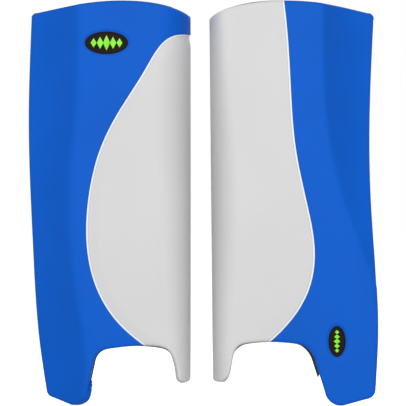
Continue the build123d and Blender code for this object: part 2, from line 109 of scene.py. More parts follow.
# ---------------------------------------------------------------- lines in the plane
def through(points, spacing=4.0):
    """A smooth natural spline through the given points."""
    knots = np.array(points, float)
    gaps = np.linalg.norm(np.diff(knots, axis=0), axis=1)
    at = np.concatenate([[0], np.cumsum(gaps)])
    count = len(knots)
    system = np.eye(count)
    pull = np.zeros((count, 2))
    for i in range(1, count - 1):
        system[i, i - 1:i + 2] = gaps[i - 1], 2 * (gaps[i - 1] + gaps[i]), gaps[i]
        pull[i] = 6 * ((knots[i + 1] - knots[i]) / gaps[i] - (knots[i] - knots[i - 1]) / gaps[i - 1])
    bend = np.linalg.solve(system, pull)
    t = np.linspace(0, at[-1], max(2, round(at[-1] / spacing)) + 1)
    i = np.minimum(np.searchsorted(at, t, side="right") - 1, count - 2)
    h = gaps[i][:, None]
    a, b = (at[i + 1] - t)[:, None] / h, (t - at[i])[:, None] / h
    curved = ((a**3 - a) * bend[i] + (b**3 - b) * bend[i + 1]) * h * h / 6
    return list(a * knots[i] + b * knots[i + 1] + curved)


def arc(points, spacing=2.5):
    """A circular arc through three points."""
    a, b, c = (np.array(p, float) for p in points)
    (ax, ay), (bx, by), (cx, cy) = a, b, c
    d = 2 * (ax * (by - cy) + bx * (cy - ay) + cx * (ay - by))
    ux = ((a @ a) * (by - cy) + (b @ b) * (cy - ay) + (c @ c) * (ay - by)) / d
    uy = ((a @ a) * (cx - bx) + (b @ b) * (ax - cx) + (c @ c) * (bx - ax)) / d
    centre = np.array([ux, uy])
    angles = [math.atan2(*(p - centre)[::-1]) for p in (a, b, c)]
    whole = 2 * math.pi
    first, turn = (angles[1] - angles[0]) % whole, (angles[2] - angles[0]) % whole
    if first > turn:
        turn -= whole
    radius = np.linalg.norm(a - centre)
    steps = max(3, math.ceil(abs(turn) * radius / spacing))
    sweep = angles[0] + turn * np.linspace(0, 1, steps + 1)
    return [centre + radius * np.array([math.cos(t), math.sin(t)]) for t in sweep]


def straight(points, spacing=4.0):
    """Straight runs through the points."""
    line = [np.array(points[0], float)]
    for start, end in zip(points, points[1:]):
        steps = max(1, round(math.dist(start, end) / spacing))
        line += list(np.linspace(start, end, steps + 1)[1:])
    return line


DRAW = {"line": straight, "arc": arc, "curve": through}


def drawn(pieces):
    """One line from pieces that are straight, round or smooth."""
    line = []
    for kind, points in pieces:
        line += DRAW[kind](points)[1 if line else 0:]
    return np.array(line)


def level(knots):
    """A smooth function through (place, value) pairs."""
    curve = np.array(through(knots, 2.0))
    return lambda place: np.interp(place, curve[:, 0], curve[:, 1])


def smooth(value):
    value = np.clip(value, 0, 1)
    return value * value * (3 - 2 * value)


def leftward(line, closed):
    """The unit direction to the left of a line, at each of its points."""
    run = np.roll(line, -1, 0) - np.roll(line, 1, 0) if closed else np.gradient(line, axis=0)
    run = run / np.linalg.norm(run, axis=1)[:, None]
    return np.stack([-run[:, 1], run[:, 0]], axis=1)


def distance(points, line, closed=False):
    """How far each point is from a line."""
    starts = line if closed else line[:-1]
    ends = np.roll(line, -1, 0) if closed else line[1:]
    best = np.full(len(points), 1e9)
    for start, end in zip(starts, ends):
        run = end - start
        share = np.clip((points - start) @ run / max(run @ run, 1e-9), 0, 1)
        away = points - start - share[:, None] * run
        best = np.minimum(best, np.hypot(away[:, 0], away[:, 1]))
    return best


def inside(points, loop):
    """Which points lie inside a closed loop."""
    x, y = points.T
    hit = np.zeros(len(points), bool)
    for (x0, y0), (x1, y1) in zip(loop, np.roll(loop, -1, 0)):
        if y0 != y1:
            hit ^= ((y0 > y) != (y1 > y)) & (x < x0 + (y - y0) * (x1 - x0) / (y1 - y0))
    return hit


# ---------------------------------------------------------------- guards
class Guard:
    """One leg guard: its side of the pair and the outlines that differ."""

    def __init__(self, name, side, inner_x, drift, stations, softness, front, foot, split, badge):
        self.name, self.side, self.inner_x, self.drift = name, side, inner_x, drift
        self.body = f"{name}_guard"
        self.crease = level([(up, crease) for up, crease, _, _ in stations])
        self.corner = level([(up, corner) for up, _, corner, _ in stations])
        self.depth = level([(up, depth) for up, _, _, depth in stations])
        self.softness = level(softness)  # how gently the face turns at the crease
        self.rear = level(REAR_EDGE)
        self.front, self.foot, self.split, self.badge = front, foot, split, badge
        self.wing_top = front[0][1][0][1]  # the wing meets the domed top at this height

    def edge(self, up):
        return self.drift * (TOP - up) / TOP

    def at(self, across, back, up):
        """Points of this guard in the frame, in metres."""
        x, y, z = np.broadcast_arrays(self.inner_x + self.side * np.asarray(across, float),
                                      np.asarray(back, float) - LEG_BACK,
                                      np.asarray(up, float) - LEG_UP)
        return np.stack([x, y, z], axis=-1) / 1000

    def around(self, up):
        """The length of the oval corner, measured round it in plan."""
        return math.pi / 2 * np.sqrt((self.corner(up)**2 + self.depth(up)**2) / 2)

    def unroll(self, points):
        """Front-view points on the flat pattern: 0 is where the oval corner starts."""
        across, up = np.array(points, float).T
        corner = self.corner(up)
        start = self.edge(up) + corner
        turn = np.arcsin(np.clip((start - across) / corner, 0, 1))
        round_it = -turn * self.around(up) * 2 / math.pi
        return np.stack([np.where(across > start, across - start, round_it), up], axis=1)

    def unroll_wing(self, points):
        """Side-view points, back and up, on the flat pattern."""
        back, up = np.array(points, float).T
        depth, around = self.depth(up), self.around(up)
        turn = np.arccos(np.clip(1 - back / depth, 0, 1))
        along = np.where(back > depth, around + back - depth, turn * around * 2 / math.pi)
        return np.stack([-along, up], axis=1)

    def surface(self, points):
        """The outer surface, as across, back and up, over points of the flat pattern."""
        along, up = points.T
        corner, depth, around = self.corner(up), self.depth(up), self.around(up)
        start, crease = self.edge(up) + corner, self.crease(up)
        turn = np.clip(-along / around, 0, 1) * math.pi / 2
        across = np.where(along > 0, start + along, start - corner * np.sin(turn))
        back = depth * (1 - np.cos(turn)) + np.maximum(0, -along - around)
        back = back + CREASE_BACK * np.clip((across - start) / (crease - start), 0, 1)
        soft = self.softness(up)
        beyond = across - crease
        beyond = (beyond + np.sqrt(beyond**2 + soft**2)) / 2 - soft**2 / (4 * (np.abs(beyond) + soft))
        width = np.maximum(FLARE_REACH, crease + 26) - crease
        fall = FLARE_START * beyond - (FLARE_START - FLARE_END) * beyond**2 / (2 * width)
        return across, back + fall, up

    def lining(self, points, thick):
        """The inner surface of foam of this thickness, in metres."""
        along, up = points.T
        corner, depth, around = self.corner(up), self.depth(up), self.around(up)
        turn = np.clip(-along / around, 0, 1) * math.pi / 2
        across = self.edge(up) + corner - (corner - thick) * np.sin(turn)
        back = depth - (depth - thick) * np.cos(turn) + np.maximum(0, -along - around)
        return np.where(along[:, None] > 0, self.lifted(points, -thick), self.at(across, back, up))

    def lifted(self, points, height):
        """The outer surface moved out along its own direction, in metres."""
        step = 0.25
        middle = self.at(*self.surface(points))
        east = self.at(*self.surface(points + [step, 0])) - self.at(*self.surface(points - [step, 0]))
        north = self.at(*self.surface(points + [0, step])) - self.at(*self.surface(points - [0, step]))
        out = np.cross(east, north) * self.side
        out /= np.linalg.norm(out, axis=1)[:, None]
        return middle + out * height[:, None] / 1000

    def piece(self, name, points, faces, flip=False, uv=None, crisp=60):
        """An object from points given as across, back and up."""
        if (self.side < 0) != flip:
            faces = [face[::-1] for face in faces]
        return new_object(name, self.at(*np.array(points).T), faces, uv, crisp)


LEFT = Guard(
    "left", -1, LEG_ACROSS, 0.0,
    stations=[(-20, 186, 40, 58), (98, 187, 42, 62), (210, 205, 49, 76), (350, 215, 60, 88),
              (450, 210, 69, 98), (560, 201, 70, 96), (740, 203, 52, 70)],
    softness=[(-20, 9), (350, 8), (740, 7)],
    front=[
        ("curve", [(0, 689), (12, 695), (36, 703), (119, TOP), (200, 707), (273, 693)]),
        ("arc", [(273, 693), (281, 690), (283, 682)]),
        ("curve", [(283, 682), (288, 500), (281, 291), (267.5, 98), (256.5, 24)]),
        ("arc", [(256.5, 24), (253, 17), (246, 13)]),
        ("line", [(246, 13), (214, 0.6)]),
        ("arc", [(214, 0.6), (197, 4), (186, 20)]),
        ("line", [(186, 20), (171, 76)]),
        ("arc", [(171, 76), (164.5, 90), (150, 99)]),
    ],
    foot=[(150, 99), (96, 105), (60, 104), (42, 99), (32, 89), (25.5, 75), (21, 58), (17, 44), (8, 39)],
    split=[(0, 651.4), (27, 649), (78, 590), (122, 520), (157, 450), (175, 379), (181, 300),
           (168, 221), (128, 150), (75, 104), (50, 86)],
    badge=(148.0, 639.0, 38.0, 20.0),
)

RIGHT = Guard(
    "right", 1, LEG_ACROSS + GAP, 7.0,
    stations=[(-20, 330, 36, 56), (150, 316, 38, 62), (260, 276, 48, 80), (340, 245, 50, 92),
              (430, 219, 48, 94), (560, 203, 38, 80), (740, 202, 28, 56)],
    softness=[(-20, 30), (260, 14), (430, 5), (740, 2.5)],
    front=[
        ("curve", [(0, 685.5), (12, 692.5), (42, 703), (141, TOP), (216, 707), (282, 693)]),
        ("arc", [(282, 693), (290, 690), (292, 680)]),
        ("curve", [(292, 680), (285, 480), (288, 344), (296.5, 210), (298, 120), (293.5, 28)]),
        ("arc", [(293.5, 28), (289, 17), (277, 11)]),
        ("line", [(277, 11), (238, 0.4)]),
        ("arc", [(238, 0.4), (217, 4), (204, 24)]),
        ("line", [(204, 24), (188, 74)]),
        ("arc", [(188, 74), (179, 94), (160, 108)]),
    ],
    foot=[(160, 108), (104, 112), (70, 110), (53, 105), (45, 95), (41, 80), (37, 64), (31, 50), (20, 41)],
    split=[(127, 728), (134, 666), (141, 555), (150, 450), (172, 344), (183, 265), (172, 203),
           (125, 133), (98, 108), (82, 94)],
    badge=(225.0, 113.0, 15.0, 27.0),
)


# ---------------------------------------------------------------- mesh work
class Pattern:
    """A flat pattern in millimetres, cut into small triangles."""

    def __init__(self, outline, lines=(), beside=(), rings=(0.7, 1.8, 3.2, 5.0), spacing=5.0, spots=()):
        loop = np.array(outline, float)
        x, y = loop.T
        if (x * np.roll(y, -1) - y * np.roll(x, -1)).sum() < 0:
            loop = loop[::-1]
        near = [loop + leftward(loop, True) * offset for offset in rings]
        near = [ring[distance(ring, loop, True) > 0.9 * offset] for ring, offset in zip(near, rings)]
        for line in lines:
            for offset in beside:
                ring = line + leftward(line, False) * offset
                near.append(ring[distance(ring, line) > 0.9 * abs(offset)])
        near += [np.array(group) for group in spots]
        low, high = loop.min(0), loop.max(0)
        rows = np.arange(low[1] + spacing / 2, high[1], spacing * 0.87)
        grid = np.array([(across + spacing / 2 * (row % 2), up) for row, up in enumerate(rows)
                         for across in np.arange(low[0], high[0], spacing)])
        grid = grid[distance(grid, loop, True) > rings[-1] + spacing * 0.5]
        for line in [*lines, *spots]:
            grid = grid[distance(grid, np.array(line)) > max(beside, default=0) + spacing * 0.45]
        near = np.concatenate(near + [grid])
        near = near[inside(near, loop)]
        fixed = [loop, *lines]
        edges, start = [], 0
        for index, line in enumerate(fixed):
            count = len(line)
            edges += [(start + k, start + k + 1) for k in range(count - 1)]
            if index == 0:
                edges.append((start + count - 1, start))
            start += count
        made = delaunay_2d_cdt([Vector(p) for p in np.concatenate(fixed + [near])], edges, [], 0, 1e-4)
        self.loop = loop
        self.points = np.array([p[:] for p in made[0]])
        faces = np.array(made[2])
        self.faces = faces[inside(self.points[faces].mean(axis=1), loop)]
        self.centres = self.points[self.faces].mean(axis=1)
        self.rim = distance(self.points, loop, True)


def placed(name, data):
    """An object with this data, put in the scene."""
    made = bpy.data.objects.new(name, data)
    bpy.context.scene.collection.objects.link(made)
    return made


def points_of(mesh):
    return np.array([v.co[:] for v in mesh.vertices])


def put_points(mesh, points):
    mesh.vertices.foreach_set("co", points.ravel())


def new_object(name, points, faces, uv=None, crisp=50):
    """A mesh object, smooth but for its sharp folds; uv holds one pair for each point."""
    mesh = bpy.data.meshes.new(name)
    mesh.from_pydata([tuple(p) for p in points], [], [tuple(int(i) for i in f) for f in faces])
    mesh.validate()
    if uv is not None:
        layer = mesh.uv_layers.new(name="pattern")
        corners = np.zeros(len(mesh.loops), int)
        mesh.loops.foreach_get("vertex_index", corners)
        layer.data.foreach_set("uv", np.asarray(uv, float)[corners].ravel())
    mesh.shade_smooth()
    mesh.set_sharp_from_angle(angle=math.radians(crisp))
    return placed(name, mesh)


def wrapped(start, rings, sides):
    """Faces round rings of points, each ring joined to the next, with a cap on each end."""
    faces = []
    for near in range(start, start + (rings - 1) * sides, sides):
        for k in range(sides):
            n = (k + 1) % sides
            faces.append((near + k, near + n, near + sides + n, near + sides + k))
    first, last = range(start, start + sides), range(start + (rings - 1) * sides, start + rings * sides)
    return faces + [tuple(reversed(first)), tuple(last)]


def round_edge(depth, radius):
    """How far a rounded edge has dropped at this depth in from it."""
    out = np.clip(1 - depth / radius, 0, 1)
    return radius * (1 - np.sqrt(1 - out**2))


def closed_sheet(name, pattern, keep, outer, inner, flip, rim_rows=2):
    """A closed piece: an outer skin, an inner skin and the rim that joins them."""
    used, faces = np.unique(pattern.faces[keep], return_inverse=True)
    faces = faces.reshape(-1, 3)
    outer, inner, uv = outer[used], inner[used], pattern.points[used] / 1000
    count = len(used)
    directed = {(int(f[a]), int(f[b])) for f in faces for a, b in ((0, 1), (1, 2), (2, 0))}
    border = [(a, b) for a, b in directed if (b, a) not in directed]
    border.sort()
    points, uvs = [outer, inner], [uv, uv]
    ring = sorted({a for edge in border for a in edge})
    place = {vertex: k for k, vertex in enumerate(ring)}
    for row in range(1, rim_rows + 1):
        share = row / (rim_rows + 1)
        points.append(outer[ring] * (1 - share) + inner[ring] * share)
        uvs.append(uv[ring])

    def layer(row, vertex):
        if row == 0:
            return vertex
        if row == rim_rows + 1:
            return count + vertex
        return 2 * count + (row - 1) * len(ring) + place[vertex]

    made = [tuple(f) for f in faces] + [tuple(f[::-1] + count) for f in faces]
    for a, b in border:
        for row in range(rim_rows + 1):
            made.append((layer(row, b), layer(row, a), layer(row + 1, a), layer(row + 1, b)))
    if flip:
        made = [f[::-1] for f in made]
    return new_object(name, np.concatenate(points), made, np.concatenate(uvs))


def dress(made, slot, *nodes, body=None, fill=None):
    """Gives a piece its material, its CAD body and the nodes that it stands for."""
    made.data.materials.clear()
    made.data.materials.append(MATERIALS[slot])
    if nodes:
        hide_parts(*nodes)
    if body:
        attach(made, body)
    return made


# ---------------------------------------------------------------- materials
class Surface:
    """A node material being put together."""

    def __init__(self, name, **settings):
        self.material = bpy.data.materials.new(name)
        self.material.use_nodes = True
        self.tree = self.material.node_tree
        self.shader = self.tree.nodes["Principled BSDF"]
        for key, value in settings.items():
            self.shader.inputs[key.replace("_", " ")].default_value = value

    def node(self, kind, settings=None, **inputs):
        made = self.tree.nodes.new(kind)
        for key, value in (settings or {}).items():
            setattr(made, key, value)
        for key, value in inputs.items():
            self.feed(made.inputs[key.replace("_", " ")], value)
        return made

    def feed(self, socket, value):
        if isinstance(value, bpy.types.NodeSocket):
            self.tree.links.new(value, socket)
        else:
            socket.default_value = value

    def coordinates(self, kind="Object"):
        return self.node("ShaderNodeTexCoord").outputs[kind]

    def noise(self, where, scale, detail):
        return self.node("ShaderNodeTexNoise", Vector=where, Scale=scale, Detail=detail,
                         Roughness=0.55).outputs["Fac"]

    def cells(self, where, scale):
        return self.node("ShaderNodeTexVoronoi", Vector=where, Scale=scale).outputs["Distance"]

    def scaled(self, where, factors):
        return self.node("ShaderNodeMapping", Vector=where, Scale=factors).outputs["Vector"]

    def wave(self, where, scale, direction, distortion):
        return self.node("ShaderNodeTexWave", {"bands_direction": direction}, Vector=where, Scale=scale,
                         Distortion=distortion).outputs["Fac"]

    def ramp(self, value, low, high, start=0.3, end=0.7):
        made = self.node("ShaderNodeValToRGB", Fac=value)
        for stop, place, color in zip(made.color_ramp.elements, (start, end), (low, high)):
            stop.position, stop.color = place, (*color, 1)
        return made.outputs["Color"]

    def dimmed(self, color, value, low, start=0.3, end=0.7):
        """A colour that darkens to this share of itself where the value is low."""
        return self.multiply(color, self.ramp(value, (low, low, low), (1, 1, 1), start, end))

    def math(self, operation, first, second):
        made = self.node("ShaderNodeMath", {"operation": operation})
        self.feed(made.inputs[0], first)
        self.feed(made.inputs[1], second)
        return made.outputs[0]

    def spread(self, value, low, high):
        return self.node("ShaderNodeMapRange", Value=value, To_Min=low, To_Max=high).outputs["Result"]

    def multiply(self, first, second):
        made = self.node("ShaderNodeMix", {"data_type": "RGBA", "blend_type": "MULTIPLY"})
        self.feed(made.inputs["Factor"], 1.0)
        self.feed(made.inputs[6], first)
        self.feed(made.inputs[7], second)
        return made.outputs[2]

    def bump(self, height, strength, depth, below=None):
        made = self.node("ShaderNodeBump", Height=height, Strength=strength, Distance=depth)
        if below is not None:
            self.feed(made.inputs["Normal"], below)
        return made.outputs["Normal"]

    def finish(self, color, roughness, normal=None):
        for key, value in (("Base Color", color), ("Roughness", roughness), ("Normal", normal)):
            if value is not None:
                self.feed(self.shader.inputs[key], value)
        return self.material


def shade(color, factor):
    return tuple(min(1.0, channel * factor) for channel in color)


def foam(name, color, vary=0.05, pits=0.35):
    """Closed-cell foam with a moulded skin: fine grain, faint clouds and tiny pits."""
    made = Surface(name, Specular_IOR_Level=0.08)
    where = made.coordinates()
    clouds = made.noise(where, 7.0, 4.0)
    grain = made.noise(where, 1400.0, 2.0)
    cells = made.cells(where, 900.0)
    base = made.ramp(clouds, shade(color, 1 - vary), shade(color, 1 + vary))
    normal = made.bump(grain, 0.25, 0.00012)
    normal = made.bump(cells, pits, 0.00010, normal)
    normal = made.bump(made.noise(where, 26.0, 3.0), 0.10, 0.0009, normal)
    return made.finish(made.dimmed(base, grain, 0.94), made.spread(clouds, 0.5, 0.64), normal)


def cut_foam(name, color):
    """Foam cut from a block: open cells show all over."""
    made = Surface(name, Specular_IOR_Level=0.18)
    where = made.coordinates()
    cells = made.cells(where, 520.0)
    clouds = made.noise(where, 18.0, 4.0)
    base = made.ramp(clouds, shade(color, 0.8), shade(color, 1.2))
    base = made.dimmed(base, cells, 0.65, 0.1, 0.6)
    normal = made.bump(cells, 0.5, 0.0003)
    return made.finish(base, made.spread(clouds, 0.75, 0.9), normal)


def mesh_fabric(name, color):
    """Spacer mesh: rows of small round openings in a knitted face."""
    made = Surface(name, Sheen_Weight=0.25, Sheen_Roughness=0.45, Specular_IOR_Level=0.3)
    where = made.coordinates("UV")
    holes = made.cells(where, 380.0)
    yarn = made.wave(where, 700.0, "DIAGONAL", 1.0)
    clouds = made.noise(made.coordinates(), 14.0, 3.0)
    base = made.ramp(holes, shade(color, 0.35), shade(color, 1.35), 0.12, 0.4)
    base = made.dimmed(base, clouds, 0.85)
    normal = made.bump(holes, 0.7, 0.0005)
    normal = made.bump(yarn, 0.3, 0.0001, normal)
    return made.finish(base, made.spread(yarn, 0.78, 0.92), normal)


def woven(name, color):
    """Plain-woven nylon: warp over weft, with slight colour clouds."""
    made = Surface(name, Sheen_Weight=0.3, Sheen_Roughness=0.4, Specular_IOR_Level=0.35)
    where = made.coordinates()
    threads = 620.0
    weave = made.math("MULTIPLY", made.wave(where, threads, "X", 0.4), made.wave(where, threads, "Z", 0.4))
    clouds = made.noise(where, 22.0, 4.0)
    base = made.ramp(weave, shade(color, 0.6), shade(color, 1.3), 0.0, 0.8)
    base = made.dimmed(base, clouds, 0.82)
    normal = made.bump(weave, 0.55, 0.00025)
    normal = made.bump(clouds, 0.2, 0.001, normal)
    return made.finish(base, made.spread(clouds, 0.68, 0.86), normal)


def webbing_fabric(name, color):
    """Heavy strap webbing: ribs across, chevron threads along and selvedge lines."""
    made = Surface(name, Sheen_Weight=0.35, Sheen_Roughness=0.35, Specular_IOR_Level=0.35)
    where = made.coordinates("UV")
    ribs = made.wave(where, 260.0, "X", 0.6)
    cords = made.wave(where, 130.0, "Y", 0.3)
    thread = made.wave(where, 900.0, "DIAGONAL", 0.5)
    weave = made.math("MULTIPLY", ribs, made.math("ADD", cords, 0.35))
    base = made.ramp(weave, shade(color, 0.55), shade(color, 1.9), 0.0, 0.9)
    base = made.dimmed(base, thread, 0.75)
    normal = made.bump(weave, 0.8, 0.0004)
    normal = made.bump(thread, 0.4, 0.0001, normal)
    return made.finish(base, made.spread(ribs, 0.6, 0.85), normal)


def elastic_fabric(name, color):
    """Ribbed elastic with a knitted face."""
    made = Surface(name, Sheen_Weight=0.3, Sheen_Roughness=0.4, Specular_IOR_Level=0.3)
    where = made.coordinates()
    ribs = made.wave(where, 420.0, "X", 0.2)
    knit = made.wave(where, 500.0, "Z", 1.0)
    base = made.ramp(ribs, shade(color, 0.5), shade(color, 2.2), 0.1, 0.8)
    base = made.dimmed(base, knit, 0.8)
    return made.finish(base, made.spread(knit, 0.6, 0.8), made.bump(ribs, 0.7, 0.0004))


def plastic(name, color, roughness, grain=0.3, shine=0.45):
    """Moulded plastic with a fine spark-eroded texture and handling marks."""
    made = Surface(name, Specular_IOR_Level=shine)
    where = made.coordinates()
    clouds = made.noise(where, 60.0, 5.0)
    fine = made.noise(where, 2600.0, 2.0)
    base = made.ramp(clouds, shade(color, 0.8), shade(color, 1.25))
    return made.finish(base, made.spread(clouds, *roughness), made.bump(fine, grain, 0.00008))


def steel(name):
    """Plated steel with fine turned streaks."""
    made = Surface(name, Metallic=1.0)
    where = made.scaled(made.coordinates(), (1.0, 40.0, 40.0))
    streaks = made.noise(where, 120.0, 4.0)
    base = made.ramp(streaks, (0.42, 0.42, 0.43), (0.72, 0.72, 0.71))
    return made.finish(base, made.spread(streaks, 0.24, 0.42), made.bump(streaks, 0.2, 0.00004))


MATERIALS = {
    "blue_foam": foam("blue_foam", (0.003, 0.115, 0.62)),
    "pale_foam": foam("pale_foam", (0.71, 0.71, 0.715), vary=0.015),
    "bond_foam": foam("bond_foam", (0.93, 0.96, 0.96), vary=0.03, pits=0.6),
    "core_foam": cut_foam("core_foam", (0.045, 0.047, 0.052)),
    "liner_fabric": mesh_fabric("liner_fabric", (0.045, 0.048, 0.055)),
    "cushion_fabric": woven("cushion_fabric", (0.075, 0.079, 0.088)),
    "badge_plastic": plastic("badge_plastic", (0.008, 0.0045, 0.003), (0.42, 0.55), 0.15, shine=0.08),
    "mark_plastic": plastic("mark_plastic", (0.26, 0.86, 0.035), (0.35, 0.5), 0.2, shine=0.2),
    "webbing": webbing_fabric("webbing", (0.02, 0.02, 0.022)),
    "elastic": elastic_fabric("elastic", (0.022, 0.022, 0.024)),
    "buckle_plastic": plastic("buckle_plastic", (0.017, 0.017, 0.018), (0.38, 0.55)),
    "screw_steel": steel("screw_steel"),
}

for part in frame["record"]["subparts"]:
    for socket in NODES[part["node"]].material_slots:
        socket.material = MATERIALS[part["material_slot"]]


# ---------------------------------------------------------------- moulded skin
def wing_rear(guard):
    """The rear edge of the inner wing, from its foot to the top, as back and up."""
    heights = np.arange(WING_FOOT[-1][1], WING_CORNER, 5.0)
    back = float(guard.rear(WING_CORNER))
    bend = (back - 7, guard.wing_top - 10)
    corner = arc([(back, WING_CORNER), bend, (back - WING_BEND, guard.wing_top)], 3.0)
    return list(zip(guard.rear(heights), heights)) + corner


def skin_outline(guard):
    """The whole skin, unrolled flat: face, flared side, corner and inner wing."""
    front = guard.unroll(drawn(guard.front))
    foot = guard.unroll(np.array(through(guard.foot)))
    bottom = guard.unroll_wing(drawn([("line", WING_FOOT[:2]), ("arc", WING_FOOT[1:])]))
    rear = guard.unroll_wing(wing_rear(guard))
    rear_end = float(guard.rear(WING_CORNER)) - WING_BEND
    front_end = float(guard.depth(guard.wing_top)) + 2
    top = guard.unroll_wing(straight([(rear_end, guard.wing_top), (front_end, guard.wing_top)])[1:])
    toe = straight([foot[-1], bottom[0]])[1:-1]
    return np.concatenate([front, foot[1:], toe, bottom, rear[1:], top])


def seam_line(guard, offset):
    """The joint between the two colours, unrolled; offset moves it to the blue side."""
    line = np.array(through(guard.split, 3.5))
    line = line + leftward(line, False) * offset
    flat = guard.unroll(line)
    if guard.split[0][0] < 1:
        flat = np.concatenate([straight([(-260, flat[0][1]), tuple(flat[0])], 4.0)[:-1], flat])
    return flat


def pale_side(line):
    """A closed loop round everything on the pale side of a seam line."""
    (_, top), (end, _) = line[0], line[-1]
    corners = [(end, -60), (-400, -60), (-400, top)]
    return np.concatenate([line, np.array(corners, float)])


def pocket_lines(guard):
    """The strap pockets in the inner wing, unrolled: floor and lip of each."""
    lines = []
    for up in STRAP_UP.values():
        rear = float(guard.rear(up))
        for inset in (0.0, POCKET_LIP):
            front, past = rear - POCKET_REACH + inset, rear + 8
            low, high = up - POCKET_HALF + inset, up + POCKET_HALF - inset
            corners = [(past, low), (front, low), (front, high), (past, high)]
            lines.append(guard.unroll_wing(straight(corners, 3.5)))
    return lines


def badge_rings(guard):
    """Points on ovals round the badge, where the face dips to take it."""
    across, up, half_width, half_height = guard.badge
    turn = np.linspace(0, 2 * math.pi, 57)[:-1]
    return [guard.unroll(np.stack([across + (half_width + grow) * np.cos(turn),
                                   up + (half_height + grow) * np.sin(turn)], axis=1))
            for grow in (-6.0, -3.0, -1.0, 0.4, 1.6, 3.0, 4.6, 6.4)]


def outside_oval(guard, across, up):
    """Distance outside the badge's oval, negative within it."""
    middle, height, half_width, half_height = guard.badge
    x, y = across - middle, up - height
    reach = np.sqrt((x / half_width)**2 + (y / half_height)**2) + 1e-9
    slope = np.sqrt((x / half_width**2)**2 + (y / half_height**2)**2) / reach + 1e-9
    return (reach - 1) / slope


DISH, DISH_WIDTH = 1.7, 5.5  # the dip round a badge
ROLL = {"left": 2.4, "right": 0.9}  # the pale panel rolls down this much to its seam
ROLL_WIDTH = 20.0


def skin_pieces(guard):
    """The blue shell, the pale panel and the bonding strip between them."""
    seams = [seam_line(guard, 0.0), seam_line(guard, SEAM)]
    pattern = Pattern(skin_outline(guard), seams + pocket_lines(guard),
                      beside=(-4.0, -1.6, -0.7, 0.7, 1.6, 4.0), spots=badge_rings(guard))
    points = pattern.points
    across, back, up = guard.surface(points)
    base = -round_edge(pattern.rim, EDGE_ROUND)
    dip = 1 - smooth(outside_oval(guard, across, up) / DISH_WIDTH)
    base -= np.where(points[:, 0] > 0, DISH * dip, 0)
    for height in STRAP_UP.values():
        deep = np.minimum(POCKET_HALF - np.abs(up - height), back - guard.rear(height) + POCKET_REACH)
        deep = np.where(points[:, 0] < 0, deep, -1)
        base -= POCKET * smooth(deep / POCKET_LIP)
    toe = smooth((120 - up) / 50) * smooth((90 - across) / 30)
    thick = SKIN - (SKIN - TOE_SKIN) * toe
    inner = guard.lining(points, thick - round_edge(pattern.rim, BACK_ROUND))
    near = [distance(points, seam) for seam in seams]
    pale, either = (inside(pattern.centres, pale_side(seam)) for seam in seams)
    strip = either & ~pale
    roll = ROLL[guard.name]
    crown = 0.3 * smooth(np.minimum(*near))
    looks = [
        ("face_panel", "pale_foam", pale,
         base - roll * smooth(1 - near[0] / ROLL_WIDTH) - round_edge(near[0], 1.2)),
        ("bond_strip", "bond_foam", strip, base - 0.8 * roll - 0.3 + crown),
        ("outer_shell", "blue_foam", ~pale & ~strip, base - round_edge(near[1], 2.4)),
    ]
    for name, slot, keep, height in looks:
        outer = guard.lifted(points, height)
        made = closed_sheet(f"{guard.name}_{name}_skin", pattern, keep, outer, inner, guard.side < 0)
        fill = None if name == "bond_strip" else 1.0
        dress(made, slot, f"{guard.name}_{name}", body=guard.body, fill=fill)


# ---------------------------------------------------------------- foam core
def evaluated(made):
    """The mesh of an object with its modifiers worked out."""
    graph = bpy.context.evaluated_depsgraph_get()
    return bpy.data.meshes.new_from_object(made.evaluated_get(graph), depsgraph=graph)


def remeshed(node, name, voxel):
    made = placed(name, NODES[node].data.copy())
    modifier = made.modifiers.new("remesh", "REMESH")
    modifier.mode, modifier.voxel_size = "VOXEL", voxel
    return made


def settle(made):
    """Replaces an object's mesh and modifiers with the finished mesh."""
    mesh = evaluated(made)
    made.modifiers.clear()
    made.data = mesh
    mesh.shade_smooth()


def foam_core(guard):
    """The core's block with its edges eased, as a hot wire leaves them."""
    made = remeshed(f"{guard.name}_foam_core", f"{guard.name}_foam_core_block", 0.004)
    grow = made.modifiers.new("grow", "DISPLACE")
    grow.strength, grow.mid_level = 0.0008, 0.0
    ease = made.modifiers.new("ease", "SMOOTH")
    ease.factor, ease.iterations = 0.5, 4
    settle(made)
    dress(made, "core_foam", f"{guard.name}_foam_core", body=guard.body, fill=1.0)


# ---------------------------------------------------------------- quilted panels
def rounded_box(low, high, radius):
    """A rectangle with round corners, as a closed line."""
    (x0, y0), (x1, y1) = low, high
    bend = radius * (1 - math.sqrt(0.5))
    pieces, last = [], (x0 + radius, y0)
    turns = [((x1, y0), (1, 0)), ((x1, y1), (0, 1)), ((x0, y1), (-1, 0)), ((x0, y0), (0, -1))]
    for corner, (dx, dy) in turns:
        corner, run, turned = np.array(corner), np.array((dx, dy)), np.array((-dy, dx))
        start, end = corner - radius * run, corner + radius * turned
        pieces += [("line", [last, start]), ("arc", [start, corner + bend * (turned - run), end])]
        last = end
    return drawn(pieces)[:-1]


def channel(offset, width):
    """The shape of a sewn channel at a distance from its line of stitches."""
    return np.exp(-(offset / width)**2)


def beside_lines(place, pitch):
    """How far a place is from the nearest of evenly spaced lines."""
    return place - np.round(place / pitch) * pitch


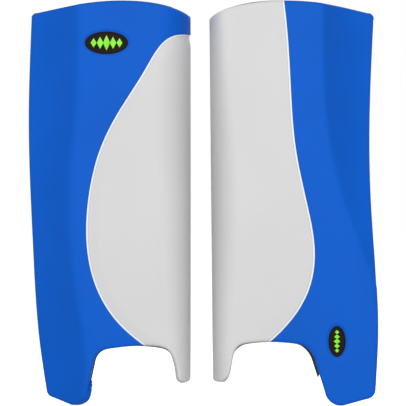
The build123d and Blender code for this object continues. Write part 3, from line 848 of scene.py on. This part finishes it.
def leg_liner(guard):
    """A thin quilted lining over the shin foam, sewn in diamonds."""
    low, high, bottom, top = LINER
    outline = rounded_box((low, bottom), (high, top), LINER_CORNER)
    pattern = Pattern(outline, rings=(0.6, 1.5, 2.6, 4.0), spacing=3.4)
    across, up = pattern.points.T
    sewn = np.zeros(len(across))
    for slant in (1, -1):
        offset = beside_lines(up - bottom + slant * (across - (low + high) / 2), LINER_PITCH) * math.sqrt(0.5)
        sewn = np.maximum(sewn, channel(offset, 4.5))
    border = channel(pattern.rim - 8.0, 3.0)
    height = LINER_THICK * (1 - 0.5 * np.maximum(sewn, border)) - round_edge(pattern.rim, 4.0)
    outer = guard.at(across, CORE_BACK + np.maximum(height, 0.8), up)
    inner = guard.at(across, CORE_BACK, up)
    made = closed_sheet(f"{guard.name}_leg_lining", pattern, slice(None), outer, inner, guard.side > 0, 1)
    dress(made, "liner_fabric", f"{guard.name}_leg_liner", body=guard.body, fill=0.4)


def calf_pad(guard, wall):
    """A long soft panel on the leg side of one wall, sewn across in ribs."""
    low, high = PAD_UP
    heights = np.arange(low + 22, high - 21, 5.0)
    rear = list(zip(guard.rear(heights) - PAD_SETBACK, heights))
    foot, head, front = rear[0][0], rear[-1][0], PAD_FRONT[wall]
    turn, bend = front + PAD_CORNER, PAD_CORNER * (1 - math.sqrt(0.5))
    line = drawn([
        ("arc", [(foot - 12, low), (foot - 3, low + 8), rear[0]]),
        ("line", rear),
        ("arc", [rear[-1], (head - 3, high - 8), (head - 12, high)]),
        ("line", [(head - 12, high), (turn, high)]),
        ("arc", [(turn, high), (front + bend, high - bend), (front, high - PAD_CORNER)]),
        ("line", [(front, high - PAD_CORNER), (front, low + PAD_CORNER)]),
        ("arc", [(front, low + PAD_CORNER), (front + bend, low + bend), (turn, low)]),
        ("line", [(turn, low), (foot - 12, low)]),
    ])[:-1]
    pattern = Pattern(line, rings=(0.7, 1.8, 3.4, 5.5), spacing=3.8)
    back, up = pattern.points.T
    ribs = channel(beside_lines(up - low, (high - low) / PAD_RIBS), 4.5) * smooth(pattern.rim / 9)
    border = channel(pattern.rim - 9.0, 3.0)
    height = PAD_THICK * (1 - 0.42 * np.maximum(ribs, border)) - round_edge(pattern.rim, 6.5)
    height = np.maximum(height, 1.5)
    if wall == "inner":
        face = guard.edge(up) + SKIN + CUSHION_GAP
        outer = guard.at(face + height, back, up)
    else:
        face = np.full(len(up), WALL[0] - CUSHION_GAP)
        outer = guard.at(face - height, back, up)
    flip = (guard.side > 0) != (wall == "inner")
    name = f"{guard.name}_{wall}_calf_pad"
    made = closed_sheet(f"{name}_quilt", pattern, slice(None), outer, guard.at(face, back, up), flip, 1)
    dress(made, "liner_fabric", name, body=guard.body, fill=0.5)


# ---------------------------------------------------------------- stuffed cushions
SWELL = 0.007  # how far a cushion may fill out from its cut shape


def stuffed(node, name):
    """A cushion cut a little small and blown up by its filling."""
    made = remeshed(node, name, 0.005)
    low, high = (np.array(corner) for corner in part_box(node))
    middle, size = (low + high) / 2, high - low
    settle(made)
    mesh = made.data
    cut = 2 * np.array([0.0035, 0.002, 0.0035])
    points = middle + (points_of(mesh) - middle) * (1 - cut / size)
    put_points(mesh, points)
    cloth = made.modifiers.new("cloth", "CLOTH")
    cloth.settings.use_pressure = True
    cloth.settings.uniform_pressure_force = 4.0
    cloth.settings.effector_weights.gravity = 0.0
    for now in range(1, 21):
        bpy.context.scene.frame_set(now)
    moved = points_of(evaluated(made)) - points
    reach = np.linalg.norm(moved, axis=1)
    moved *= np.minimum(1, SWELL / np.maximum(reach, 1e-9))[:, None]
    points = points + moved
    made.modifiers.clear()
    points[:, 1] = np.maximum(points[:, 1], low[1] + 0.0002)
    put_points(mesh, points)
    made.modifiers.new("finer", "SUBSURF").levels = 1
    settle(made)
    return made


def seam_round(made, level_y):
    """The line round a cushion where its two covers are sewn together."""
    points = points_of(made.data)
    middle = points.mean(axis=0)
    size = points.max(axis=0) - points.min(axis=0)
    band = points[np.abs(points[:, 1] - level_y) < 0.0028]
    flat = band[:, (0, 2)] - middle[[0, 2]]
    angle = np.arctan2(flat[:, 1] / size[2], flat[:, 0] / size[0])
    line = []
    count = 96
    for k in range(count):
        turn = -math.pi + 2 * math.pi * k / count
        gap = np.abs((angle - turn + math.pi) % (2 * math.pi) - math.pi)
        near = band[gap < 2.2 * math.pi / count]
        if len(near):
            line.append((near[:, 0].mean(), level_y, near[:, 2].mean()))
    line = np.array(line)
    for _ in range(3):
        line = (np.roll(line, 1, 0) + 2 * line + np.roll(line, -1, 0)) / 4
    return line


def tube(name, line, radius):
    """A round cord along a closed line of points."""
    curve = bpy.data.curves.new(name, "CURVE")
    curve.dimensions = "3D"
    curve.bevel_depth, curve.bevel_resolution = radius, 2
    spline = curve.splines.new("POLY")
    spline.points.add(len(line) - 1)
    for spot, point in zip(spline.points, line):
        spot.co = (*point, 1)
    spline.use_cyclic_u = True
    shown = bpy.data.objects.new(name, curve)
    mesh = bpy.data.meshes.new_from_object(shown)
    bpy.data.objects.remove(shown)
    mesh.shade_smooth()
    return placed(name, mesh)


def groove_along(made, line, width, depth):
    """Pulls the cover in along a sewn line."""
    mesh = made.data
    points = points_of(mesh)
    normals = np.array([v.normal[:] for v in mesh.vertices])
    best = np.full(len(points), 1e9)
    for spot in line:
        best = np.minimum(best, np.linalg.norm(points - spot, axis=1))
    put_points(mesh, points - normals * (depth * channel(best, width))[:, None])


def sewn_channels(made, places, axis, width, depth):
    """Channels sewn straight across a cushion on its leg side."""
    points = points_of(made.data)
    low, high = points.min(axis=0), points.max(axis=0)
    raised = smooth((points[:, 1] - low[1]) / (high[1] - low[1]) * 2 - 0.4)
    for share in places:
        place = low[axis] + (high[axis] - low[axis]) * share
        points[:, 1] -= depth * channel(points[:, axis] - place, width) * raised
    put_points(made.data, points)


def mirrored(made, name, shift):
    """A copy of a cushion for the other guard, turned left for right."""
    mesh = made.data.copy()
    points = points_of(mesh)
    points[:, 0] = shift - points[:, 0]
    put_points(mesh, points)
    mesh.flip_normals()
    return placed(name, mesh)


def cushions():
    """Knee cushions and shin bolsters, each shape stuffed once and copied."""
    for kind in ("knee_cushion", "inner_shin_bolster", "outer_shin_bolster"):
        node = f"left_{kind}"
        made = stuffed(node, f"{node}_cover")
        low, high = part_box(node)
        if kind == "knee_cushion":
            sewn_channels(made, (0.34, 0.67), 2, 0.005, 0.006)
        else:
            sewn_channels(made, (0.25, 0.5, 0.75), 2, 0.004, 0.004)
        level_y = low[1] + (high[1] - low[1]) * 0.36
        line = seam_round(made, level_y)
        groove_along(made, line, 0.0028, 0.0012)
        cord = tube(f"{node}_piping", line, 0.0013)
        for guard in (LEFT, RIGHT):
            cover, edge = made, cord
            if guard is RIGHT:
                shift = (2 * LEG_ACROSS + GAP) / 1000
                cover = mirrored(made, f"right_{kind}_cover", shift)
                edge = mirrored(cord, f"right_{kind}_piping", shift)
            dress(cover, "cushion_fabric", f"{guard.name}_{kind}", body=guard.body, fill=0.8)
            dress(edge, "cushion_fabric", body=guard.body)


# ---------------------------------------------------------------- badges
BADGE_FACE = CREASE_BACK * 0.6 + 0.4  # how far back a badge's rim lies
BADGE_THICK = 2.4
LOZENGES = (0.3, 0.42, 0.55, 0.42, 0.3)  # height of each lozenge, as a share of the badge's


def oval(half_width, half_height, turns):
    """Points on an oval, as across and up from its middle."""
    angles = [2 * math.pi * k / turns for k in range(turns)]
    return [(half_width * math.cos(turn), half_height * math.sin(turn)) for turn in angles]


def badge_front(guard, x, y):
    """How far back the badge's domed and rimmed front lies at a place on it."""
    _, _, half_width, half_height = guard.badge
    reach = np.sqrt((x / half_width)**2 + (y / half_height)**2)
    return BADGE_FACE - 1.5 * (1 - smooth(reach)) - 0.9 * channel(reach - 0.93, 0.05)


def badge_dome(guard):
    """An oval plate with a low dome inside a raised rim."""
    across, up, half_width, half_height = guard.badge
    shares = [0.12, 0.25, 0.4, 0.55, 0.7, 0.8, 0.86, 0.9, 0.94, 0.97, 1.0]
    turns = 64
    points = [(across + x, badge_front(guard, x, y), up + y) for share in shares
              for x, y in oval(half_width * share, half_height * share, turns)]
    for deeper in (0.8, BADGE_THICK):
        points += [(across + x, BADGE_FACE + deeper, up + y) for x, y in oval(half_width, half_height, turns)]
    faces = wrapped(0, len(shares) + 2, turns)
    faces.remove(tuple(reversed(range(turns))))
    faces += [(len(points), (k + 1) % turns, k) for k in range(turns)]
    points.append((across, badge_front(guard, 0, 0), up))
    plate = guard.piece(f"{guard.name}_badge_dome", points, faces, flip=True)
    dress(plate, "badge_plastic", f"{guard.name}_badge_plate", body=guard.body)


def badge_mark(guard):
    """A plain row of lozenges standing on the dome."""
    across, up, half_width, half_height = guard.badge
    upright = half_height > half_width
    long_half, short_half = max(half_width, half_height), min(half_width, half_height)
    sides, layers = 24, ((1.0, -0.3), (1.0, 0.25), (0.8, 0.5), (0.4, 0.55))
    points, faces = [], []
    for step, share in enumerate(LOZENGES):
        offset = (step - 2) * long_half * 0.3
        along_half = long_half * 0.105 * (1 + share)
        cross_half = short_half * (share + 0.08) * (0.65 if upright else 1.05)
        faces += wrapped(len(points), len(layers), sides)
        for scale, rise in layers:
            for u, v in oval(1.0, 1.0, sides):
                reach = scale / (abs(u) + abs(v))**0.92
                a, c = offset + along_half * reach * u, cross_half * reach * v
                x, y = (c, a) if upright else (a, c)
                points.append((across + x, badge_front(guard, x, y) - rise, up + y))
    mark = guard.piece(f"{guard.name}_badge_lozenges", points, faces, flip=upright, crisp=40)
    dress(mark, "mark_plastic", f"{guard.name}_badge_mark", body=guard.body)


# ---------------------------------------------------------------- webbing
def strap_levels(guard, up):
    """Distances back of the bend, the webbing's two runs and the buckle's bar."""
    bend = float(guard.rear(up)) + WRAP_START
    run = bend + WRAP + WEBBING[1] / 2
    middle = run + BAR_RADIUS + 0.5 + WEBBING[1] / 2
    return bend, run, middle, middle + (middle - run)


def quarter(centre, radius, side):
    """A quarter turn from one side of a centre to behind it, in plan."""
    (across, back), share = centre, math.sqrt(0.5)
    return [(across + side * radius, back), (across + side * radius * share, back + radius * share),
            (across, back + radius)]


def half_loop(across, middle, reach, side):
    """A half turn round a buckle's bar, in plan."""
    return [(across, middle - reach), (across + side * reach, middle), (across, middle + reach)]


def band(name, guard, path, up, width, thick):
    """Flat webbing along a plan path, with softly rounded selvedges."""
    half, slim, soft = width / 2, thick / 2, 0.75
    rim = [(half - soft, slim), (half - 0.25, slim * 0.75), (half, 0), (half - 0.25, -slim * 0.75),
           (half - soft, -slim)]
    inner = [(half * share, -slim) for share in (0.6, 0.2, -0.2, -0.6)]
    left = [(-a, -b) for a, b in rim]
    section = rim + inner + left + [(-a, -b) for a, b in inner]
    out = leftward(path, False)
    along = np.concatenate([[0], np.cumsum(np.linalg.norm(np.diff(path, axis=0), axis=1))])
    points, uv = [], []
    for spot, normal, length in zip(path, out, along):
        for high, proud in section:
            across, back = spot + normal * proud
            points.append((across, back, up + high))
            uv.append((length / 1000, (high + half) / 1000))
    return guard.piece(name, points, wrapped(0, len(path), len(section)), uv=uv)


def joined(name, parts):
    """Several meshes made into one object."""
    points, faces, uv = [], [], []
    for part in parts:
        mesh = part.data
        start = len(points)
        points += [v.co[:] for v in mesh.vertices]
        faces += [tuple(start + i for i in polygon.vertices) for polygon in mesh.polygons]
        spots = np.zeros((len(mesh.vertices), 2))
        if mesh.uv_layers:
            for corner, spot in zip(mesh.loops, mesh.uv_layers[0].data):
                spots[corner.vertex_index] = spot.uv[:]
        uv += [tuple(spot) for spot in spots]
        bpy.data.objects.remove(part)
    return new_object(name, points, faces, uv, crisp=60)


def stitches(name, guard, spots):
    """Short rounded stitches: each has a place and a way along the cloth."""
    length, wide, proud = STITCH
    swell = ((-0.5, 0.35), (-0.38, 0.85), (0.0, 1.0), (0.38, 0.85), (0.5, 0.35))
    sides = 6
    points, faces = [], []
    for (across, back, up), (du, dv) in spots:
        faces += wrapped(len(points), len(swell), sides)
        for t, size in swell:
            for side, rise in oval(wide * size, proud * size, sides):
                points.append((across + t * length * du - side * dv, back + rise,
                               up + t * length * dv + side * du))
    return guard.piece(name, points, faces, crisp=80)


def stitch_row(start, end, back):
    """Places for a row of stitches between two front-view points."""
    run = np.array(end, float) - np.array(start, float)
    length = np.linalg.norm(run)
    count = max(1, int(length // STITCH_PITCH))
    places = [np.array(start) + run * (k + 0.5) / count for k in range(count)]
    return [((across, back, up), run / length) for across, up in places]


def box_stitch(low, high, back):
    """A square of stitches with a cross in it."""
    (x0, y0), (x1, y1) = low, high
    sides = [((x0, y0), (x1, y0)), ((x1, y0), (x1, y1)), ((x1, y1), (x0, y1)), ((x0, y1), (x0, y0))]
    cross = [((x0, y0), (x1, y1)), ((x0, y1), (x1, y0))]
    return [spot for start, end in sides + cross for spot in stitch_row(start, end, back)]


def straps(guard):
    """Calf straps, the short buckle tabs and their stitching."""
    half_width, half_thick = WEBBING[0] / 2, WEBBING[1] / 2
    tabs, thread = [], []
    for strap, up in STRAP_UP.items():
        bend, run, middle, far_run = strap_levels(guard, up)
        reach = middle - run
        plate_back = float(guard.rear(up)) - PLATE_SETBACK
        anchor = WALL[1] + half_thick
        centre = (WALL[1] - WRAP, bend)
        path = drawn([
            ("line", [(anchor, plate_back - STRAP_END), (anchor, bend)]),
            ("arc", quarter(centre, WRAP + half_thick, 1)),
            ("line", [(centre[0], run), (CLIP_BAR, run)]),
            ("arc", half_loop(CLIP_BAR, middle, reach, -1)),
            ("line", [(CLIP_BAR, far_run), (TAIL_END, far_run)]),
        ])
        long_strap = band(f"{guard.name}_{strap}_webbing", guard, path, up, *WEBBING)
        hem = [spot for across in (TAIL_END - 4, TAIL_END - 10)
               for spot in stitch_row((across, up - 16), (across, up + 16), far_run + half_thick)]
        long_strap = joined(f"{guard.name}_{strap}_webbing", [long_strap, stitches("hem", guard, hem)])
        dress(long_strap, "webbing", f"{guard.name}_{strap}_strap")
        start, stop = (tuple(guard.at(across, middle, up)) for across in FOLLOW)
        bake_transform(long_strap)

        floor = float(guard.edge(up)) + POCKET
        wall, centre = floor - half_thick, (floor + WRAP, bend)
        path = drawn([
            ("line", [(wall, plate_back - STRAP_END), (wall, bend)]),
            ("arc", quarter(centre, WRAP + half_thick, -1)),
            ("line", [(centre[0], run), (BODY_BAR, run)]),
            ("arc", half_loop(BODY_BAR, middle, reach, 1)),
            ("line", [(BODY_BAR, far_run), (BODY_BAR - 16, far_run)]),
        ])
        tabs.append(band(f"{guard.name}_{strap}_tab", guard, path, up, *WEBBING))
        thread += box_stitch((BODY_BAR - 14, up - half_width + 4), (BODY_BAR - 4, up + half_width - 4),
                             far_run + half_thick)
    tabs.append(stitches("thread", guard, thread))
    dress(joined(f"{guard.name}_tab_webbing", tabs), "webbing", f"{guard.name}_buckle_tabs", body=guard.body)


# ---------------------------------------------------------------- build
for each in (LEFT, RIGHT):
    skin_pieces(each)
    foam_core(each)
    leg_liner(each)
    calf_pad(each, "inner")
    calf_pad(each, "outer")
    badge_dome(each)
    badge_mark(each)
    straps(each)
cushions()


# ---------------------------------------------------------------- studio
FLOOR_REACH, FLOOR_DROP = 60.0, 0.0006


def studio_floor(low, high):
    """A wide pale floor just under the object."""
    middle = (low + high) / 2
    reaches, turns = (0.8, 2.0, 5.0, 15.0, FLOOR_REACH), 48
    points = [(middle.x + x, middle.y + y, low.z - FLOOR_DROP)
              for reach in reaches for x, y in oval(reach, reach, turns)]
    faces = [face[::-1] for face in wrapped(0, len(reaches), turns)[:-1]]
    floor = new_object("studio_floor", points, faces)
    made = Surface("studio_floor", Specular_IOR_Level=0.1, Emission_Strength=0.72)
    made.shader.inputs["Emission Color"].default_value = (1, 1, 1, 1)
    grain = made.noise(made.coordinates(), 30.0, 3.0)
    floor.data.materials.append(made.finish(made.ramp(grain, (0.86, 0.86, 0.86), (0.9, 0.9, 0.9)), 0.9))
    floor.visible_diffuse = False  # the floor shows pale without lighting the object from below


def soft_light(name, place, target, size, power):
    light = bpy.data.lights.new(name, "AREA")
    light.shape, light.size, light.energy = "DISK", size, power
    lamp = placed(name, light)
    lamp.visible_camera = False
    lamp.location = place
    lamp.rotation_mode = "QUATERNION"
    lamp.rotation_quaternion = (target - Vector(place)).to_track_quat("-Z", "Y")


AMBIENT = 0.42
VIEW_AWAY, VIEW_SPARE = 12.0, 1.0013  # the camera's distance and the room round the object
LIGHTS = [  # name, place from the object's middle, size and power
    ("key", (-1.0, -4.2, 1.7), 2.2, 73.0),
    ("fill", (1.0, -4.2, 0.5), 2.2, 60.0),
    ("rear", (1.5, 3.0, 2.2), 2.5, 60.0),
]


def studio(low, high):
    middle = (low + high) / 2
    world = bpy.data.worlds.new("studio")
    world.use_nodes = True
    tree = world.node_tree
    ambient = tree.nodes["Background"]
    ambient.inputs["Color"].default_value = (1, 1, 1, 1)
    ambient.inputs["Strength"].default_value = AMBIENT
    backdrop = tree.nodes.new("ShaderNodeBackground")
    backdrop.inputs["Color"].default_value = (1, 1, 1, 1)
    seen = tree.nodes.new("ShaderNodeLightPath").outputs["Is Camera Ray"]
    either = tree.nodes.new("ShaderNodeMixShader")
    for value, socket in ((seen, either.inputs[0]), (ambient.outputs[0], either.inputs[1]),
                          (backdrop.outputs[0], either.inputs[2]),
                          (either.outputs[0], tree.nodes["World Output"].inputs["Surface"])):
        tree.links.new(value, socket)
    bpy.context.scene.world = world
    for name, place, size, power in LIGHTS:
        soft_light(name, middle + Vector(place), middle, size, power)
    data = bpy.data.cameras.new("camera")
    camera = placed("camera", data)
    data.sensor_width = 36.0
    seen_height = (high.z - low.z) * VIEW_SPARE
    data.lens = data.sensor_width * (VIEW_AWAY + low.y - middle.y) / seen_height
    data.clip_end = 100.0
    camera.location = (middle.x, middle.y - VIEW_AWAY, middle.z)
    camera.rotation_euler = (math.radians(90), 0, 0)
    bpy.context.scene.camera = camera
    bpy.context.scene.view_settings.view_transform = "Standard"


studio_floor(*CAD_BOX)
studio(*CAD_BOX)
